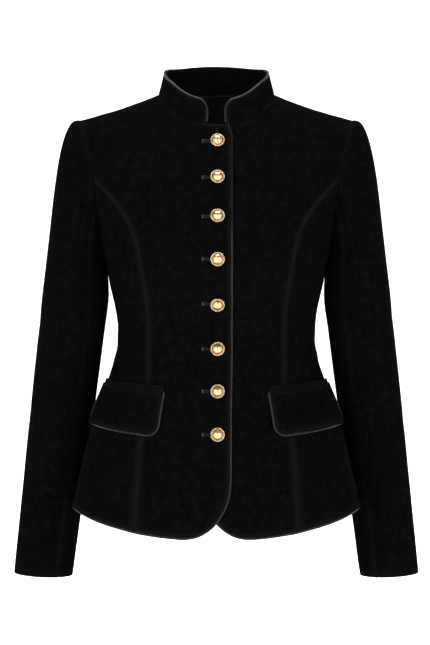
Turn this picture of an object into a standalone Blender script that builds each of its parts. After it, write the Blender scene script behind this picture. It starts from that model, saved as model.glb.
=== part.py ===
"""Black trachten jacket in its worn form, for a woman's EU size 38.

Frame: metres, +Z up. The wearer faces -Y, and the wearer's right side is at -X. The origin lies in the
body's middle plane at the height of the side neck points, where the shoulders carry the jacket.
All sizes below are in millimetres, and the meshes are scaled to metres as they are made.

The cloth of the body is one smooth form, worked out from a table of sections. A place on it is given by
an angle, 0 at the centre front, 90 at the side seam and 180 at the centre back, and by a station, the
height of its section above the hem in millimetres. Every panel is a patch of that form, cut at the seams.
"""

import math
from collections import namedtuple

import bmesh
import bpy
import numpy as np
from mathutils import Matrix, Vector

MM = 0.001

# Thicknesses and gaps
BODY_WALL = 2.0
COLLAR_WALL = 3.0
FLAP_WALL = 2.4
WELT_WALL = 1.6
SEAM_GAP = 0.3
PIPING_RADIUS = 1.5
PIPING_SIDES_RESOLUTION = 1

# Front closing: the right front laps over the left one
FRONT_EDGE = 19.0
FRONT_EDGE_AT_NECK = 14.0
LAP_LIFT = BODY_WALL + 1.0
LAP_LIFT_FULL = 28.0
LAP_LIFT_NONE = 75.0
HEM_CORNER_WIDTH = 66.0
HEM_CORNER_HEIGHT = 71.0
HEM_CORNER_REACH = 210.0

# The body's sections, from the hem up to the neck seam. middle_width is the half width that the chest and
# the back follow, side_width the one at the sides. girdle_z is the height that the front and back rise to
# at the sides, and side_z the height of the side or shoulder seam itself. front and back are the depths ahead of and behind the
# middle; square is the exponent of the section's rounded outline, 2 for an ellipse; side_y is where the
# widest point lies; dip and back_dip are the exponents of the drop from girdle_z to front_z and to back_z.
Section = namedtuple(
    "Section",
    "station side_width middle_width front back side_z girdle_z front_z back_z"
    " front_square back_square side_y dip back_dip",
)
BODY = [
    Section(0, 200.0, 200.0, 137.0, 132.0, -571.0, -571.0, -604.5, -581.0, 2.10, 2.25, -22.0, 2.45, 2.0),
    Section(55, 188.0, 188.0, 130.5, 125.0, -517.0, -517.0, -543.0, -525.0, 2.10, 2.25, -20.0, 2.3, 2.0),
    Section(105, 176.0, 176.0, 124.0, 117.0, -468.0, -468.0, -485.5, -473.0, 2.15, 2.25, -17.0, 2.1, 2.0),
    Section(145, 163.5, 163.5, 119.0, 108.0, -428.5, -428.5, -440.0, -432.0, 2.15, 2.25, -14.0, 2.0, 2.0),
    Section(175, 152.8, 152.8, 115.0, 100.5, -399.5, -399.5, -407.0, -402.0, 2.20, 2.25, -11.0, 2.0, 2.0),
    Section(205, 143.0, 143.0, 111.0, 94.0, -370.0, -370.0, -374.0, -371.0, 2.20, 2.20, -8.0, 2.0, 2.0),
    Section(245, 138.2, 138.2, 109.0, 89.0, -330.0, -330.0, -332.0, -330.0, 2.20, 2.20, -5.0, 2.0, 2.0),
    Section(275, 141.0, 141.0, 112.5, 93.0, -300.0, -300.0, -301.0, -299.0, 2.25, 2.20, -4.0, 2.0, 2.0),
    Section(301, 146.5, 146.5, 122.0, 99.5, -274.0, -274.0, -275.0, -271.0, 2.28, 2.20, -2.0, 2.0, 2.0),
    Section(338, 151.8, 151.8, 135.5, 107.0, -237.0, -237.0, -239.0, -233.0, 2.32, 2.22, 0.0, 2.0, 2.0),
    Section(358, 155.5, 155.5, 137.5, 109.5, -217.0, -217.0, -220.0, -212.5, 2.35, 2.25, 1.0, 2.0, 2.0),
    Section(380, 160.0, 160.0, 135.5, 110.5, -195.0, -195.0, -201.0, -190.0, 2.38, 2.28, 2.0, 2.0, 2.0),
    Section(430, 175.2, 170.5, 121.5, 106.5, -145.0, -145.0, -161.0, -141.0, 2.40, 2.32, 3.0, 2.2, 2.6),
    Section(470, 185.0, 169.0, 108.5, 100.0, -102.0, -101.5, -127.0, -101.5, 2.34, 2.28, 3.0, 2.4, 4.0),
    Section(510, 193.0, 160.0, 97.5, 92.0, -62.0, -66.5, -100.0, -65.5, 2.18, 2.15, 3.0, 2.7, 6.0),
    Section(536, 190.4, 150.0, 91.3, 85.5, -36.0, -47.5, -85.5, -45.4, 2.06, 2.05, 3.0, 2.9, 6.5),
    Section(541, 185.5, 148.0, 90.2, 84.3, -34.5, -44.2, -82.8, -42.7, 2.04, 2.03, 3.0, 2.9, 6.5),
    Section(590, 136.0, 122.5, 81.6, 71.0, -20.4, -21.6, -64.5, -20.5, 2.00, 2.00, 2.0, 3.1, 6.0),
    Section(619, 108.3, 103.0, 76.6, 64.3, -10.8, -10.8, -54.5, -10.0, 2.00, 2.00, 1.5, 3.2, 5.5),
    Section(648, 81.0, 81.0, 72.0, 58.0, 0.0, 0.0, -45.5, 0.0, 2.00, 2.00, 1.0, 3.3, 5.0),
]
SIDE_SHARE_POWER = 6
SEAM_SHARE_POWER = 14
ANGLE_PASSES = 8
NECK = BODY[-1].station

# Armhole: an upright oval in angle and station round the side
ARMHOLE_TOP = 536.0
ARMHOLE_BOTTOM = 380.0
ARMHOLE_FRONT_ANGLE = 17.5
ARMHOLE_BACK_ANGLE = 19.0
ARMHOLE_STEPS = 24
ARMHOLE_MIDDLE = (ARMHOLE_TOP + ARMHOLE_BOTTOM) / 2
ARMHOLE_HALF = (ARMHOLE_TOP - ARMHOLE_BOTTOM) / 2

# Princess seams: the front one by its distance from the centre front, the back one by its distance from
# the centre back. Both end on the armhole at its mid height.
SeamPoint = namedtuple("SeamPoint", "station distance")
FRONT_PRINCESS = [
    SeamPoint(0, 111.0),
    SeamPoint(105, 102.5),
    SeamPoint(190, 92.5),
    SeamPoint(246, 92.5),
    SeamPoint(303, 97.0),
    SeamPoint(338, 103.5),
    SeamPoint(366, 107.5),
    SeamPoint(392, 115.5),
    SeamPoint(416, 128.0),
    SeamPoint(438, 147.0),
]
BACK_PRINCESS = [
    SeamPoint(0, 96.0),
    SeamPoint(105, 84.0),
    SeamPoint(190, 70.0),
    SeamPoint(246, 66.0),
    SeamPoint(303, 72.0),
    SeamPoint(338, 81.0),
    SeamPoint(380, 98.0),
    SeamPoint(416, 122.0),
    SeamPoint(438, 146.0),
]
SIDE_PANEL_REACH = 0.86

# Rows and columns of the panels' meshes
ROWS_BELOW_ARMHOLE = 16
ROWS_OVER_SHOULDER = 5
FRONT_CORNER_COLUMNS = 6
FRONT_PLAIN_COLUMNS = 4
FRONT_CORNER_SHARE = 0.52
SIDE_COLUMNS = 4
BACK_COLUMNS = 6

# Collar: a stand collar whose ends stand either side of the centre front. The heights are those of its
# cloth's upper edge.
COLLAR_END = 14.8
COLLAR_TOP_HALF_WIDTH = 74.0
COLLAR_TOP_FRONT = 66.5
COLLAR_TOP_BACK = 52.5
COLLAR_TOP_SIDE_Z = 28.5
COLLAR_TOP_FRONT_Z = -12.5
COLLAR_TOP_BACK_Z = 38.5
COLLAR_TOP_DIP = 2.7
COLLAR_CORNER_WIDTH = 12.0
COLLAR_CORNER_HEIGHT = 0.44
COLLAR_CORNER_COLUMNS = 4
COLLAR_ROWS = 4
COLLAR_SEAM_GAP = 0.45

# Facing of smooth cloth inside the back neck
FACING_WALL = 1.0
FACING_CLEARANCE = 0.8
FACING_DEPTH_CENTRE = 91.0
FACING_DEPTH_SHOULDER = 44.0
FACING_ROWS = 4
FACING_END_ANGLE = 97.5
FACING_STEP_ANGLE = 15.0

# Sleeves: sections below the cap. inner and outer are the distances from the middle plane; z is the height
# of the section's middle.
SleeveSection = namedtuple("SleeveSection", "z inner outer front_y back_y")
SLEEVE = [
    SleeveSection(-235, 153.8, 238.7, -50.0, 72.0),
    SleeveSection(-275, 150.9, 243.8, -44.0, 75.0),
    SleeveSection(-330, 157.5, 250.0, -33.0, 81.0),
    SleeveSection(-400, 167.0, 258.2, -17.5, 89.0),
    SleeveSection(-470, 176.5, 266.3, -1.0, 97.0),
    SleeveSection(-540, 185.9, 273.8, 9.5, 102.5),
    SleeveSection(-600, 193.8, 280.1, 14.5, 105.0),
    SleeveSection(-678, 204.3, 288.0, 16.0, 103.5),
]
SLEEVE_TILT = 0.05

# How the sleeve cap leaves the armhole (out, forward, drop) and how hard it is pulled into the sleeve's top
# section. Plain values hold all round, up ones grow towards the shoulder, ends ones count at the shoulder
# and underarm, and sides ones at the front and back.
CAP_OUT, CAP_OUT_UP, CAP_OUT_ENDS = 40.0, 43.5, 6.5
CAP_FORWARD = 18.0
CAP_DROP, CAP_DROP_UP, CAP_DROP_SIDES = -4.0, 34.0, -40.0
CAP_PULL, CAP_PULL_UP, CAP_PULL_ENDS = 110.0, 120.0, 50.0
SLEEVE_CAP_ROWS = 8
SLEEVE_TUBE_ROWS = 10
SLEEVE_FRONT_SEAM_STEP = 8
SLEEVE_BACK_SEAM_STEP = 17

# Pocket flaps and the welts above them, on the skirt's sides
FLAP_TOP = 170.5
FLAP_BOTTOM = 117.5
FLAP_FRONT_TOP = 72.0
FLAP_FRONT_BOTTOM = 80.5
FLAP_BACK_ANGLE = 87.0
FLAP_CORNER_WIDTH = 12.5
FLAP_CORNER_HEIGHT = 0.22
FLAP_CORNER_COLUMNS = 3
FLAP_PLAIN_COLUMNS = 7
FLAP_ROWS = 4
FLAP_STAND_OFF = 2.2
FLAP_STAND_OFF_POWER = 1.5
FLAP_LENGTH = 140.0
WELT_GAP = 0.5
WELT_HEIGHT = 7.5
POCKET_CLEARANCE = 0.9

# Buttons: their heights on the centre front, and the outline of one turned round its middle
BUTTON_HEIGHTS = (-69.5, -119.3, -172.3, -227.5, -288.0, -350.5, -408.0, -466.0)
BUTTON_OFFSET = 1.6
BUTTON_SIDES = 12
BUTTON_CLEARANCE = 0.5
BUTTON_OUTLINE = [
    (0.0, 0.0),
    (3.0, 0.0),
    (3.0, 2.0),
    (9.3, 2.8),
    (10.1, 3.9),
    (9.0, 5.1),
    (7.0, 4.5),
    (5.4, 7.0),
    (0.0, 9.0),
]

# Materials: colour, roughness, metallic
VELVET = ("black_velvet", (0.012, 0.010, 0.011, 1.0), 0.85, 0.0)
LINING = ("black_lining", (0.010, 0.011, 0.010, 1.0), 0.55, 0.0)
LEATHER = ("black_leather", (0.02, 0.02, 0.02, 1.0), 0.35, 0.0)
BRASS = ("antique_brass", (0.62, 0.42, 0.22, 1.0), 0.35, 1.0)


def through(knots, values, at):
    """A smooth curve through a table's values, with no overshoot between its rows."""
    knots, values = np.asarray(knots, float), np.asarray(values, float)
    steps = np.diff(knots)
    rises = np.diff(values) / steps
    slopes = np.zeros_like(values)
    same_way = rises[:-1] * rises[1:] > 0
    total = np.where(same_way, rises[:-1] + rises[1:], 1.0)
    slopes[1:-1] = np.where(same_way, 2 * rises[:-1] * rises[1:] / total, 0.0)
    slopes[0], slopes[-1] = rises[0], rises[-1]
    at = np.asarray(at, float)
    low = np.clip(np.searchsorted(knots, at, side="right") - 1, 0, len(steps) - 1)
    step = steps[low]
    t = (at - knots[low]) / step
    return (
        values[low] * (1 + 2 * t) * (1 - t) ** 2
        + values[low + 1] * t * t * (3 - 2 * t)
        + step * slopes[low] * t * (1 - t) ** 2
        - step * slopes[low + 1] * t * t * (1 - t)
    )


def fade(value, full, none):
    """1 at full, 0 at none, and a soft step between."""
    t = np.clip((none - value) / (none - full), 0.0, 1.0)
    return t * t * (3 - 2 * t)


def body_column(name, station):
    return through([s.station for s in BODY], [getattr(s, name) for s in BODY], station)


def rounded_section(angle, half_width, front, back, side_y, front_square, back_square):
    """(x, y) on a rounded outline at an angle from the centre front."""
    sine, ahead = np.sin(angle), np.cos(angle) > 0
    square = np.where(ahead, front_square, back_square)
    depth = np.where(ahead, front + side_y, back - side_y)
    across = (1 - np.abs(sine) ** square) ** (1 / square)
    return half_width * sine, side_y - np.where(ahead, 1, -1) * depth * across


def half_width(sine, side_width, middle_width):
    """The half width that scales a section at this sine of the angle."""
    return middle_width + (side_width - middle_width) * sine**SIDE_SHARE_POWER


def body_form(angle, station):
    """Points of the body's outer surface on the wearer's left half."""
    angle, station = np.broadcast_arrays(np.asarray(angle, float), np.asarray(station, float))
    column = {name: body_column(name, station) for name in Section._fields[1:]}
    x, y = rounded_section(
        angle,
        half_width(np.abs(np.sin(angle)), column["side_width"], column["middle_width"]),
        column["front"],
        column["back"],
        column["side_y"],
        column["front_square"],
        column["back_square"],
    )
    ahead = np.cos(angle) > 0
    end_z = np.where(ahead, column["front_z"], column["back_z"])
    power = np.where(ahead, column["dip"], column["back_dip"])
    sine = np.abs(np.sin(angle))
    z = end_z + (column["girdle_z"] - end_z) * sine**power
    z = z + (column["side_z"] - column["girdle_z"]) * sine**SEAM_SHARE_POWER
    return np.stack([x, y, z], -1)


def collar_form(angle, share):
    """Points of the collar's outer surface: share is 0 at the neck seam and 1 at the upper edge."""
    angle, share = np.broadcast_arrays(np.asarray(angle, float), np.asarray(share, float))
    foot = body_form(angle, np.full(angle.shape, float(NECK)))
    x, y = rounded_section(
        angle, COLLAR_TOP_HALF_WIDTH, COLLAR_TOP_FRONT, COLLAR_TOP_BACK, 0.0, 2.0, 2.0
    )
    ahead = np.cos(angle) > 0
    end_z = np.where(ahead, COLLAR_TOP_FRONT_Z, COLLAR_TOP_BACK_Z)
    power = np.where(ahead, COLLAR_TOP_DIP, 2.0)
    z = end_z + (COLLAR_TOP_SIDE_Z - end_z) * np.abs(np.sin(angle)) ** power
    top = np.stack([x, y, z], -1)
    return foot + (top - foot) * share[..., None]


def normals_of(form, first, second, first_step, second_step):
    """Outward unit normals of a form, from its differences along both of its measures."""
    across = form(first + first_step, second) - form(first - first_step, second)
    along = form(first, second + second_step) - form(first, second - second_step)
    normal = np.cross(across, along)
    return normal / np.linalg.norm(normal, axis=-1, keepdims=True)


def body_normals(angle, station):
    station = np.clip(station, 0.5, NECK - 0.5)
    return normals_of(body_form, angle, station, 0.002, 0.5)


def collar_normals(angle, share):
    return normals_of(collar_form, angle, share, 0.002, 0.02)


def angle_at(distance, station):
    """The angle, in front, of the point this far from the centre front."""
    side_width, middle_width = body_column("side_width", station), body_column("middle_width", station)
    sine = distance / side_width
    for _ in range(ANGLE_PASSES):
        sine = np.clip(distance / half_width(np.abs(sine), side_width, middle_width), -1.0, 1.0)
    return np.arcsin(sine)


def armhole_angle(station, reach):
    """How far the armhole reaches from the side at a station, in radians."""
    inside = np.clip(1 - ((station - ARMHOLE_MIDDLE) / ARMHOLE_HALF) ** 2, 0.0, 1.0)
    return math.radians(reach) * np.sqrt(inside)


def seam_angle(table, reach, station):
    """A princess seam's angle from the centre it is measured from, up to the armhole's mid height."""
    distances = through([p.station for p in table], [p.distance for p in table], station)
    below = angle_at(distances, station)
    last = table[-1].station
    end = math.pi / 2 - armhole_angle(ARMHOLE_MIDDLE, reach)
    start = angle_at(table[-1].distance, last)
    above = start + (end - start) * (station - last) / (ARMHOLE_MIDDLE - last)
    return np.where(station < last, below, above)


def outer_boundary(table, reach, station):
    """The angle where a centre panel ends: princess seam, then armhole, then shoulder seam."""
    seam = seam_angle(table, reach, np.minimum(station, ARMHOLE_MIDDLE))
    hole = math.pi / 2 - armhole_angle(station, reach)
    shoulder = np.full(station.shape, math.pi / 2)
    return np.where(
        station <= ARMHOLE_MIDDLE, seam, np.where(station < ARMHOLE_TOP, hole, shoulder)
    )


def side_boundary(reach, station):
    """The angle where a side panel ends: side seam, then armhole."""
    hole = math.pi / 2 - armhole_angle(station, reach)
    return np.where(station <= ARMHOLE_BOTTOM, math.pi / 2, hole)


def panel_rows():
    """Stations of the rows that the panels and the sleeve heads share."""
    turns = np.linspace(math.pi, 0.0, ARMHOLE_STEPS // 2 + 1)
    return np.concatenate(
        [
            np.linspace(0, ARMHOLE_BOTTOM, ROWS_BELOW_ARMHOLE + 1)[:-1],
            ARMHOLE_MIDDLE + ARMHOLE_HALF * np.cos(turns),
            np.linspace(ARMHOLE_TOP, NECK, ROWS_OVER_SHOULDER + 1)[1:],
        ]
    )


def front_edge(station):
    """The lapped front edge's distance beyond the centre front."""
    eased = fade(station, NECK, NECK - 45.0)
    return FRONT_EDGE + (FRONT_EDGE_AT_NECK - FRONT_EDGE) * eased


def lap_lift(x):
    """How far the upper front stands off the form, by the distance to its own side of the centre front."""
    return LAP_LIFT * fade(x, LAP_LIFT_FULL, LAP_LIFT_NONE)


Patch = namedtuple("Patch", "angle station")


def inset_sides(patch, start=True, end=True):
    """Draws a patch's two side edges in by half a seam's gap, measured on the form."""
    angle, station = patch.angle.copy(), patch.station
    speed = np.linalg.norm(
        body_form(angle + 0.002, station) - body_form(angle - 0.002, station), axis=-1
    ) / 0.004
    step = np.clip(SEAM_GAP / 2 / np.maximum(speed, 20.0), 0.0, 0.01)
    if start:
        angle[:, 0] += step[:, 0]
    if end:
        angle[:, -1] -= step[:, -1]
    return Patch(angle, station)


def armhole_clearance(patch, column):
    """Keeps the shoulder and underarm points of an edge clear of the sleeve, along the station."""
    station = patch.station.copy()
    at_top = np.isclose(station[:, column], ARMHOLE_TOP)
    at_bottom = np.isclose(station[:, column], ARMHOLE_BOTTOM)
    station[at_top, column] += 2 * SEAM_GAP
    station[at_bottom, column] -= 2 * SEAM_GAP
    return Patch(patch.angle, station)


def front_patch():
    """A centre front, from its lapped edge to the princess seam, armhole and shoulder seam."""
    rows = panel_rows()
    rows[-1] -= COLLAR_SEAM_GAP / 2
    start = -angle_at(front_edge(rows), rows)
    end = outer_boundary(FRONT_PRINCESS, ARMHOLE_FRONT_ANGLE, rows)
    turns = np.linspace(0.0, math.pi / 2, FRONT_CORNER_COLUMNS + 1)
    corner = FRONT_CORNER_SHARE * (1 - np.cos(turns))
    plain = np.linspace(FRONT_CORNER_SHARE, 1.0, FRONT_PLAIN_COLUMNS + 1)[1:]
    shares = np.concatenate([corner, plain])
    angle = start[:, None] + (end - start)[:, None] * shares[None, :]
    from_edge = front_edge(0.0) + body_form(angle[0], 0.0)[:, 0]
    inside = np.clip(1 - from_edge / HEM_CORNER_WIDTH, 0.0, 1.0)
    lift = HEM_CORNER_HEIGHT * (1 - np.sqrt(1 - inside**2))
    ease = np.clip(1 - rows / HEM_CORNER_REACH, 0.0, 1.0)
    station = rows[:, None] + ease[:, None] * lift[None, :]
    return armhole_clearance(inset_sides(Patch(angle, station), start=False), -1)


def back_patch():
    """A centre back, from the centre back seam to the princess seam, armhole and shoulder seam."""
    rows = panel_rows()
    rows[-1] -= COLLAR_SEAM_GAP / 2
    end = math.pi - outer_boundary(BACK_PRINCESS, ARMHOLE_BACK_ANGLE, rows)
    shares = np.linspace(0.0, 1.0, BACK_COLUMNS + 1)
    angle = math.pi + (end - math.pi)[:, None] * shares[None, :]
    station = np.repeat(rows[:, None], BACK_COLUMNS + 1, axis=1)
    flipped = Patch(angle[:, ::-1], station)
    return armhole_clearance(inset_sides(flipped), 0)


def side_rows():
    rows = panel_rows()
    return rows[rows < ARMHOLE_MIDDLE + 1.0]


def short_of_tip(patch):
    """Ends a side panel a little below the point where its seam meets the armhole."""
    angle, station = patch.angle.copy(), patch.station.copy()
    for grid in (angle, station):
        grid[-1] = grid[-2] + (grid[-1] - grid[-2]) * SIDE_PANEL_REACH
    return Patch(angle, station)


def side_front_patch():
    """A side front, from the front princess seam to the side seam and armhole."""
    rows = side_rows()
    start = seam_angle(FRONT_PRINCESS, ARMHOLE_FRONT_ANGLE, rows)
    end = side_boundary(ARMHOLE_FRONT_ANGLE, rows)
    shares = np.linspace(0.0, 1.0, SIDE_COLUMNS + 1)
    angle = start[:, None] + (end - start)[:, None] * shares[None, :]
    station = np.repeat(rows[:, None], SIDE_COLUMNS + 1, axis=1)
    return armhole_clearance(inset_sides(short_of_tip(Patch(angle, station))), -1)


def side_back_patch():
    """A side back, from the side seam and armhole to the back princess seam."""
    rows = side_rows()
    start = math.pi - side_boundary(ARMHOLE_BACK_ANGLE, rows)
    end = math.pi - seam_angle(BACK_PRINCESS, ARMHOLE_BACK_ANGLE, rows)
    shares = np.linspace(0.0, 1.0, SIDE_COLUMNS + 1)
    angle = start[:, None] + (end - start)[:, None] * shares[None, :]
    station = np.repeat(rows[:, None], SIDE_COLUMNS + 1, axis=1)
    return armhole_clearance(inset_sides(short_of_tip(Patch(angle, station))), 0)


def mirrored(points, side):
    """side is 1 for the wearer's left and -1 for the right."""
    return points * np.array([side, 1.0, 1.0])


def layers(patch, side, lift, thickness):
    """A wall's outer and inner points: lift is how far its outer surface stands off the body's form."""
    points = body_form(patch.angle, patch.station)
    normals = body_normals(patch.angle, patch.station)
    outer = points + normals * np.asarray(lift)[..., None]
    inner = outer - normals * thickness
    return mirrored(outer, side), mirrored(inner, side)


def panel_layers(patch, side, lapped=False):
    """A body panel's outer and inner points. The upper front is lifted over the under front."""
    lift = lap_lift(body_form(patch.angle, patch.station)[..., 0]) if lapped else 0.0
    return layers(patch, side, lift, BODY_WALL)


def material(recipe):
    name, colour, roughness, metallic = recipe
    found = bpy.data.materials.get(name)
    if found:
        return found
    made = bpy.data.materials.new(name)
    made.use_nodes = True
    shader = made.node_tree.nodes["Principled BSDF"]
    shader.inputs["Base Color"].default_value = colour
    shader.inputs["Roughness"].default_value = roughness
    shader.inputs["Metallic"].default_value = metallic
    made.diffuse_color = colour
    return made


def add_object(name, data, recipe):
    made = bpy.data.objects.new(name, data)
    data.materials.append(material(recipe))
    bpy.context.scene.collection.objects.link(made)
    return made


def wall(name, outer, inner, recipe=VELVET):
    """A closed wall between two grids of points."""
    work = bmesh.new()
    rows, columns = outer.shape[:2]
    sheets = [
        [[work.verts.new(Vector(point) * MM) for point in row] for row in grid]
        for grid in (outer, inner)
    ]
    for sheet in sheets:
        for i in range(rows - 1):
            for j in range(columns - 1):
                work.faces.new((sheet[i][j], sheet[i][j + 1], sheet[i + 1][j + 1], sheet[i + 1][j]))
    rim = (
        [(0, j) for j in range(columns - 1)]
        + [(i, columns - 1) for i in range(rows - 1)]
        + [(rows - 1, j) for j in range(columns - 1, 0, -1)]
        + [(i, 0) for i in range(rows - 1, 0, -1)]
    )
    for (i, j), (k, m) in zip(rim, rim[1:] + rim[:1]):
        work.faces.new((sheets[0][i][j], sheets[0][k][m], sheets[1][k][m], sheets[1][i][j]))
    bmesh.ops.recalc_face_normals(work, faces=work.faces)
    mesh = bpy.data.meshes.new(name)
    work.to_mesh(mesh)
    work.free()
    mesh.shade_smooth()
    mesh.set_sharp_from_angle(angle=math.radians(40))
    return add_object(name, mesh, recipe)


def piping(name, centres):
    """A leather-covered cord through a line of points."""
    data = bpy.data.curves.new(name, "CURVE")
    data.dimensions = "3D"
    data.bevel_depth = PIPING_RADIUS * MM
    data.bevel_resolution = PIPING_SIDES_RESOLUTION
    data.use_fill_caps = True
    spline = data.splines.new("POLY")
    spline.points.add(len(centres) - 1)
    for point, centre in zip(spline.points, centres):
        point.co = (*(centre * MM), 1.0)
    return add_object(name, data, LEATHER)


def edge_cord(outer, inner, outward):
    """A cord's centre line just outside a wall's edge. outer and inner are the edge's points, and outward
    is 1 or -1: the side of the edge, seen along it from outside the garment, where the cord lies."""
    middle = (outer + inner) / 2
    along = np.gradient(middle, axis=0)
    along /= np.linalg.norm(along, axis=-1, keepdims=True)
    normal = outer - inner
    normal /= np.linalg.norm(normal, axis=-1, keepdims=True)
    away = np.cross(along, normal) * outward
    return middle + away * (PIPING_RADIUS + SEAM_GAP)


def trimmed(cord):
    """The cord with both ends drawn in, to stand clear of what it meets."""
    cord = cord.copy()
    for end, following in ((0, 1), (-1, -2)):
        along = cord[following] - cord[end]
        cord[end] += along / np.linalg.norm(along) * 3 * SEAM_GAP
    return cord


def build_body():
    """The eight panels of the body, and the piping of the front edges and hem."""
    for side, word in ((1, "left"), (-1, "right")):
        lapped = side < 0
        front = panel_layers(front_patch(), side, lapped)
        side_front = panel_layers(side_front_patch(), side)
        side_back = panel_layers(side_back_patch(), side)
        back = panel_layers(back_patch(), side)
        wall(f"front_{word}", *front)
        wall(f"side_front_{word}", *side_front)
        wall(f"side_back_{word}", *side_back)
        wall(f"back_{word}", *back)
        edge = [
            np.concatenate([front[k][:0:-1, 0], front[k][0, :-1], side_front[k][0]])
            for k in (0, 1)
        ]
        piping(f"piping_front_{word}", trimmed(edge_cord(*edge, side)))
        yield [np.concatenate([side_back[k][0, :-1], back[k][0]]) for k in (0, 1)]


def build_back_hem(left, right):
    """The hem's piping from side seam to side seam round the back."""
    edge = [np.concatenate([left[k][:-1], right[k][::-1]]) for k in (0, 1)]
    piping("piping_back_hem", trimmed(edge_cord(*edge, 1)))


def build_collar():
    """The stand collar in one piece, with rounded front corners, and its piping."""
    rows = panel_rows()
    columns = front_patch().angle[-1]
    start = float(angle_at(COLLAR_END, NECK))
    turns = np.linspace(0.0, math.pi / 2, COLLAR_CORNER_COLUMNS + 1)
    corner = start + (1 - np.cos(turns)) * COLLAR_CORNER_WIDTH / COLLAR_TOP_HALF_WIDTH
    front = np.concatenate([corner, columns[(columns > corner[-1] + 0.06) & (columns < 1.5)]])
    back = back_patch().angle[-1][1:-1]
    half = np.concatenate([front, [math.pi / 2], back])
    angle = np.concatenate([half, [math.pi], 2 * math.pi - half[::-1]])
    from_end = np.minimum(angle, 2 * math.pi - angle) - start
    inside = np.clip(1 - from_end / (corner[-1] - start), 0.0, 1.0)
    top = 1 - COLLAR_CORNER_HEIGHT * (1 - np.sqrt(1 - inside**2))
    shares = np.linspace(0.0, 1.0, COLLAR_ROWS + 1)[:, None] * top[None, :]
    shares[0] += COLLAR_SEAM_GAP / 2 / (COLLAR_TOP_SIDE_Z - BODY[-1].side_z)
    angles = np.repeat(angle[None, :], COLLAR_ROWS + 1, axis=0)
    points = collar_form(angles, shares)
    normals = collar_normals(angles, shares)
    lift = np.where(angles > math.pi, lap_lift(-points[..., 0]), 0.0)
    foot_normals = mirrored(body_normals(2 * math.pi - angle, float(NECK)), -1)[None]
    lifted = foot_normals + (normals - foot_normals) * shares[..., None]
    outer = points + lifted * lift[..., None]
    inner = outer - normals * COLLAR_WALL
    wall("collar", outer, inner)
    edge = [
        np.concatenate([grid[1:-1, 0], grid[-1], grid[1:-1, -1][::-1]]) for grid in (outer, inner)
    ]
    piping("piping_collar", edge_cord(*edge, -1))


def build_facing():
    """The facing that shows through the neck, a crescent against the inside of the back."""
    shoulder, step = math.radians(FACING_END_ANGLE), math.radians(FACING_STEP_ANGLE)
    inner_angles = np.arange(math.pi / 2 + step, 3 * math.pi / 2 - step / 2, step)
    angle = np.concatenate([[shoulder], inner_angles, [2 * math.pi - shoulder]])
    depth = FACING_DEPTH_CENTRE + (FACING_DEPTH_SHOULDER - FACING_DEPTH_CENTRE) * np.sin(angle) ** 2
    down = np.linspace(0.0, 1.0, FACING_ROWS + 1)
    station = NECK - 2 * SEAM_GAP - depth[None, :] * down[:, None]
    angles = np.repeat(angle[None, :], FACING_ROWS + 1, axis=0)
    points, normals = body_form(angles, station), body_normals(angles, station)
    outer = points - normals * (BODY_WALL + FACING_CLEARANCE)
    wall("back_neck_facing", outer, outer - normals * FACING_WALL, LINING)


def sleeve_section(turn, z):
    """Points of the sleeve's outer surface below the cap. A turn of 0 faces away from the body and a
    quarter turn faces forwards."""
    turn, z = np.broadcast_arrays(np.asarray(turn, float), np.asarray(z, float))
    column = {
        name: through([-s.z for s in SLEEVE], [getattr(s, name) for s in SLEEVE], -z)
        for name in SleeveSection._fields[1:]
    }
    middle_x = (column["outer"] + column["inner"]) / 2
    middle_y = (column["front_y"] + column["back_y"]) / 2
    half_x = (column["outer"] - column["inner"]) / 2
    half_y = (column["back_y"] - column["front_y"]) / 2
    x = middle_x + half_x * np.cos(turn)
    y = middle_y - half_y * np.sin(turn)
    return np.stack([x, y, z + SLEEVE_TILT * half_x * np.cos(turn)], -1)


def armhole_point(turn):
    """The armhole's points on the body: a turn of 0 is the shoulder and a quarter turn the front."""
    reach = np.where(np.sin(turn) > 0, ARMHOLE_FRONT_ANGLE, ARMHOLE_BACK_ANGLE)
    angle = math.pi / 2 - np.radians(reach) * np.sin(turn)
    return body_form(angle, ARMHOLE_MIDDLE + ARMHOLE_HALF * np.cos(turn))


def sleeve_form(turn, length):
    """Points of the sleeve's outer surface. length runs from 0 at the armhole, through 1 at the first
    section below the cap, to 2 at the cuff."""
    turn, length = np.broadcast_arrays(np.asarray(turn, float), np.asarray(length, float))
    top_z, cuff_z = float(SLEEVE[0].z), float(SLEEVE[-1].z)
    tube = sleeve_section(turn, top_z + (cuff_z - top_z) * np.clip(length - 1, 0.0, 1.0))
    up, ahead = np.cos(turn), np.sin(turn)
    leaving = np.stack(
        [
            CAP_OUT + CAP_OUT_UP * up + CAP_OUT_ENDS * up**2,
            -CAP_FORWARD * ahead,
            CAP_DROP + CAP_DROP_UP * up + CAP_DROP_SIDES * ahead**2,
        ],
        -1,
    )
    foot = sleeve_section(turn, top_z)
    pull = CAP_PULL + CAP_PULL_UP * up + CAP_PULL_ENDS * up**2
    arriving = (sleeve_section(turn, top_z - 1.0) - foot) * pull[..., None]
    t = np.clip(length, 0.0, 1.0)[..., None]
    cap = (
        armhole_point(turn) * (1 + 2 * t) * (1 - t) ** 2
        + foot * t * t * (3 - 2 * t)
        + leaving * t * (1 - t) ** 2
        - arriving * t * t * (1 - t)
    )
    return np.where(length[..., None] < 1, cap, tube)


def sleeve_normals(turn, length):
    return normals_of(sleeve_form, turn, np.clip(length, 0.01, 1.99), 0.01, 0.01)


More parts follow.
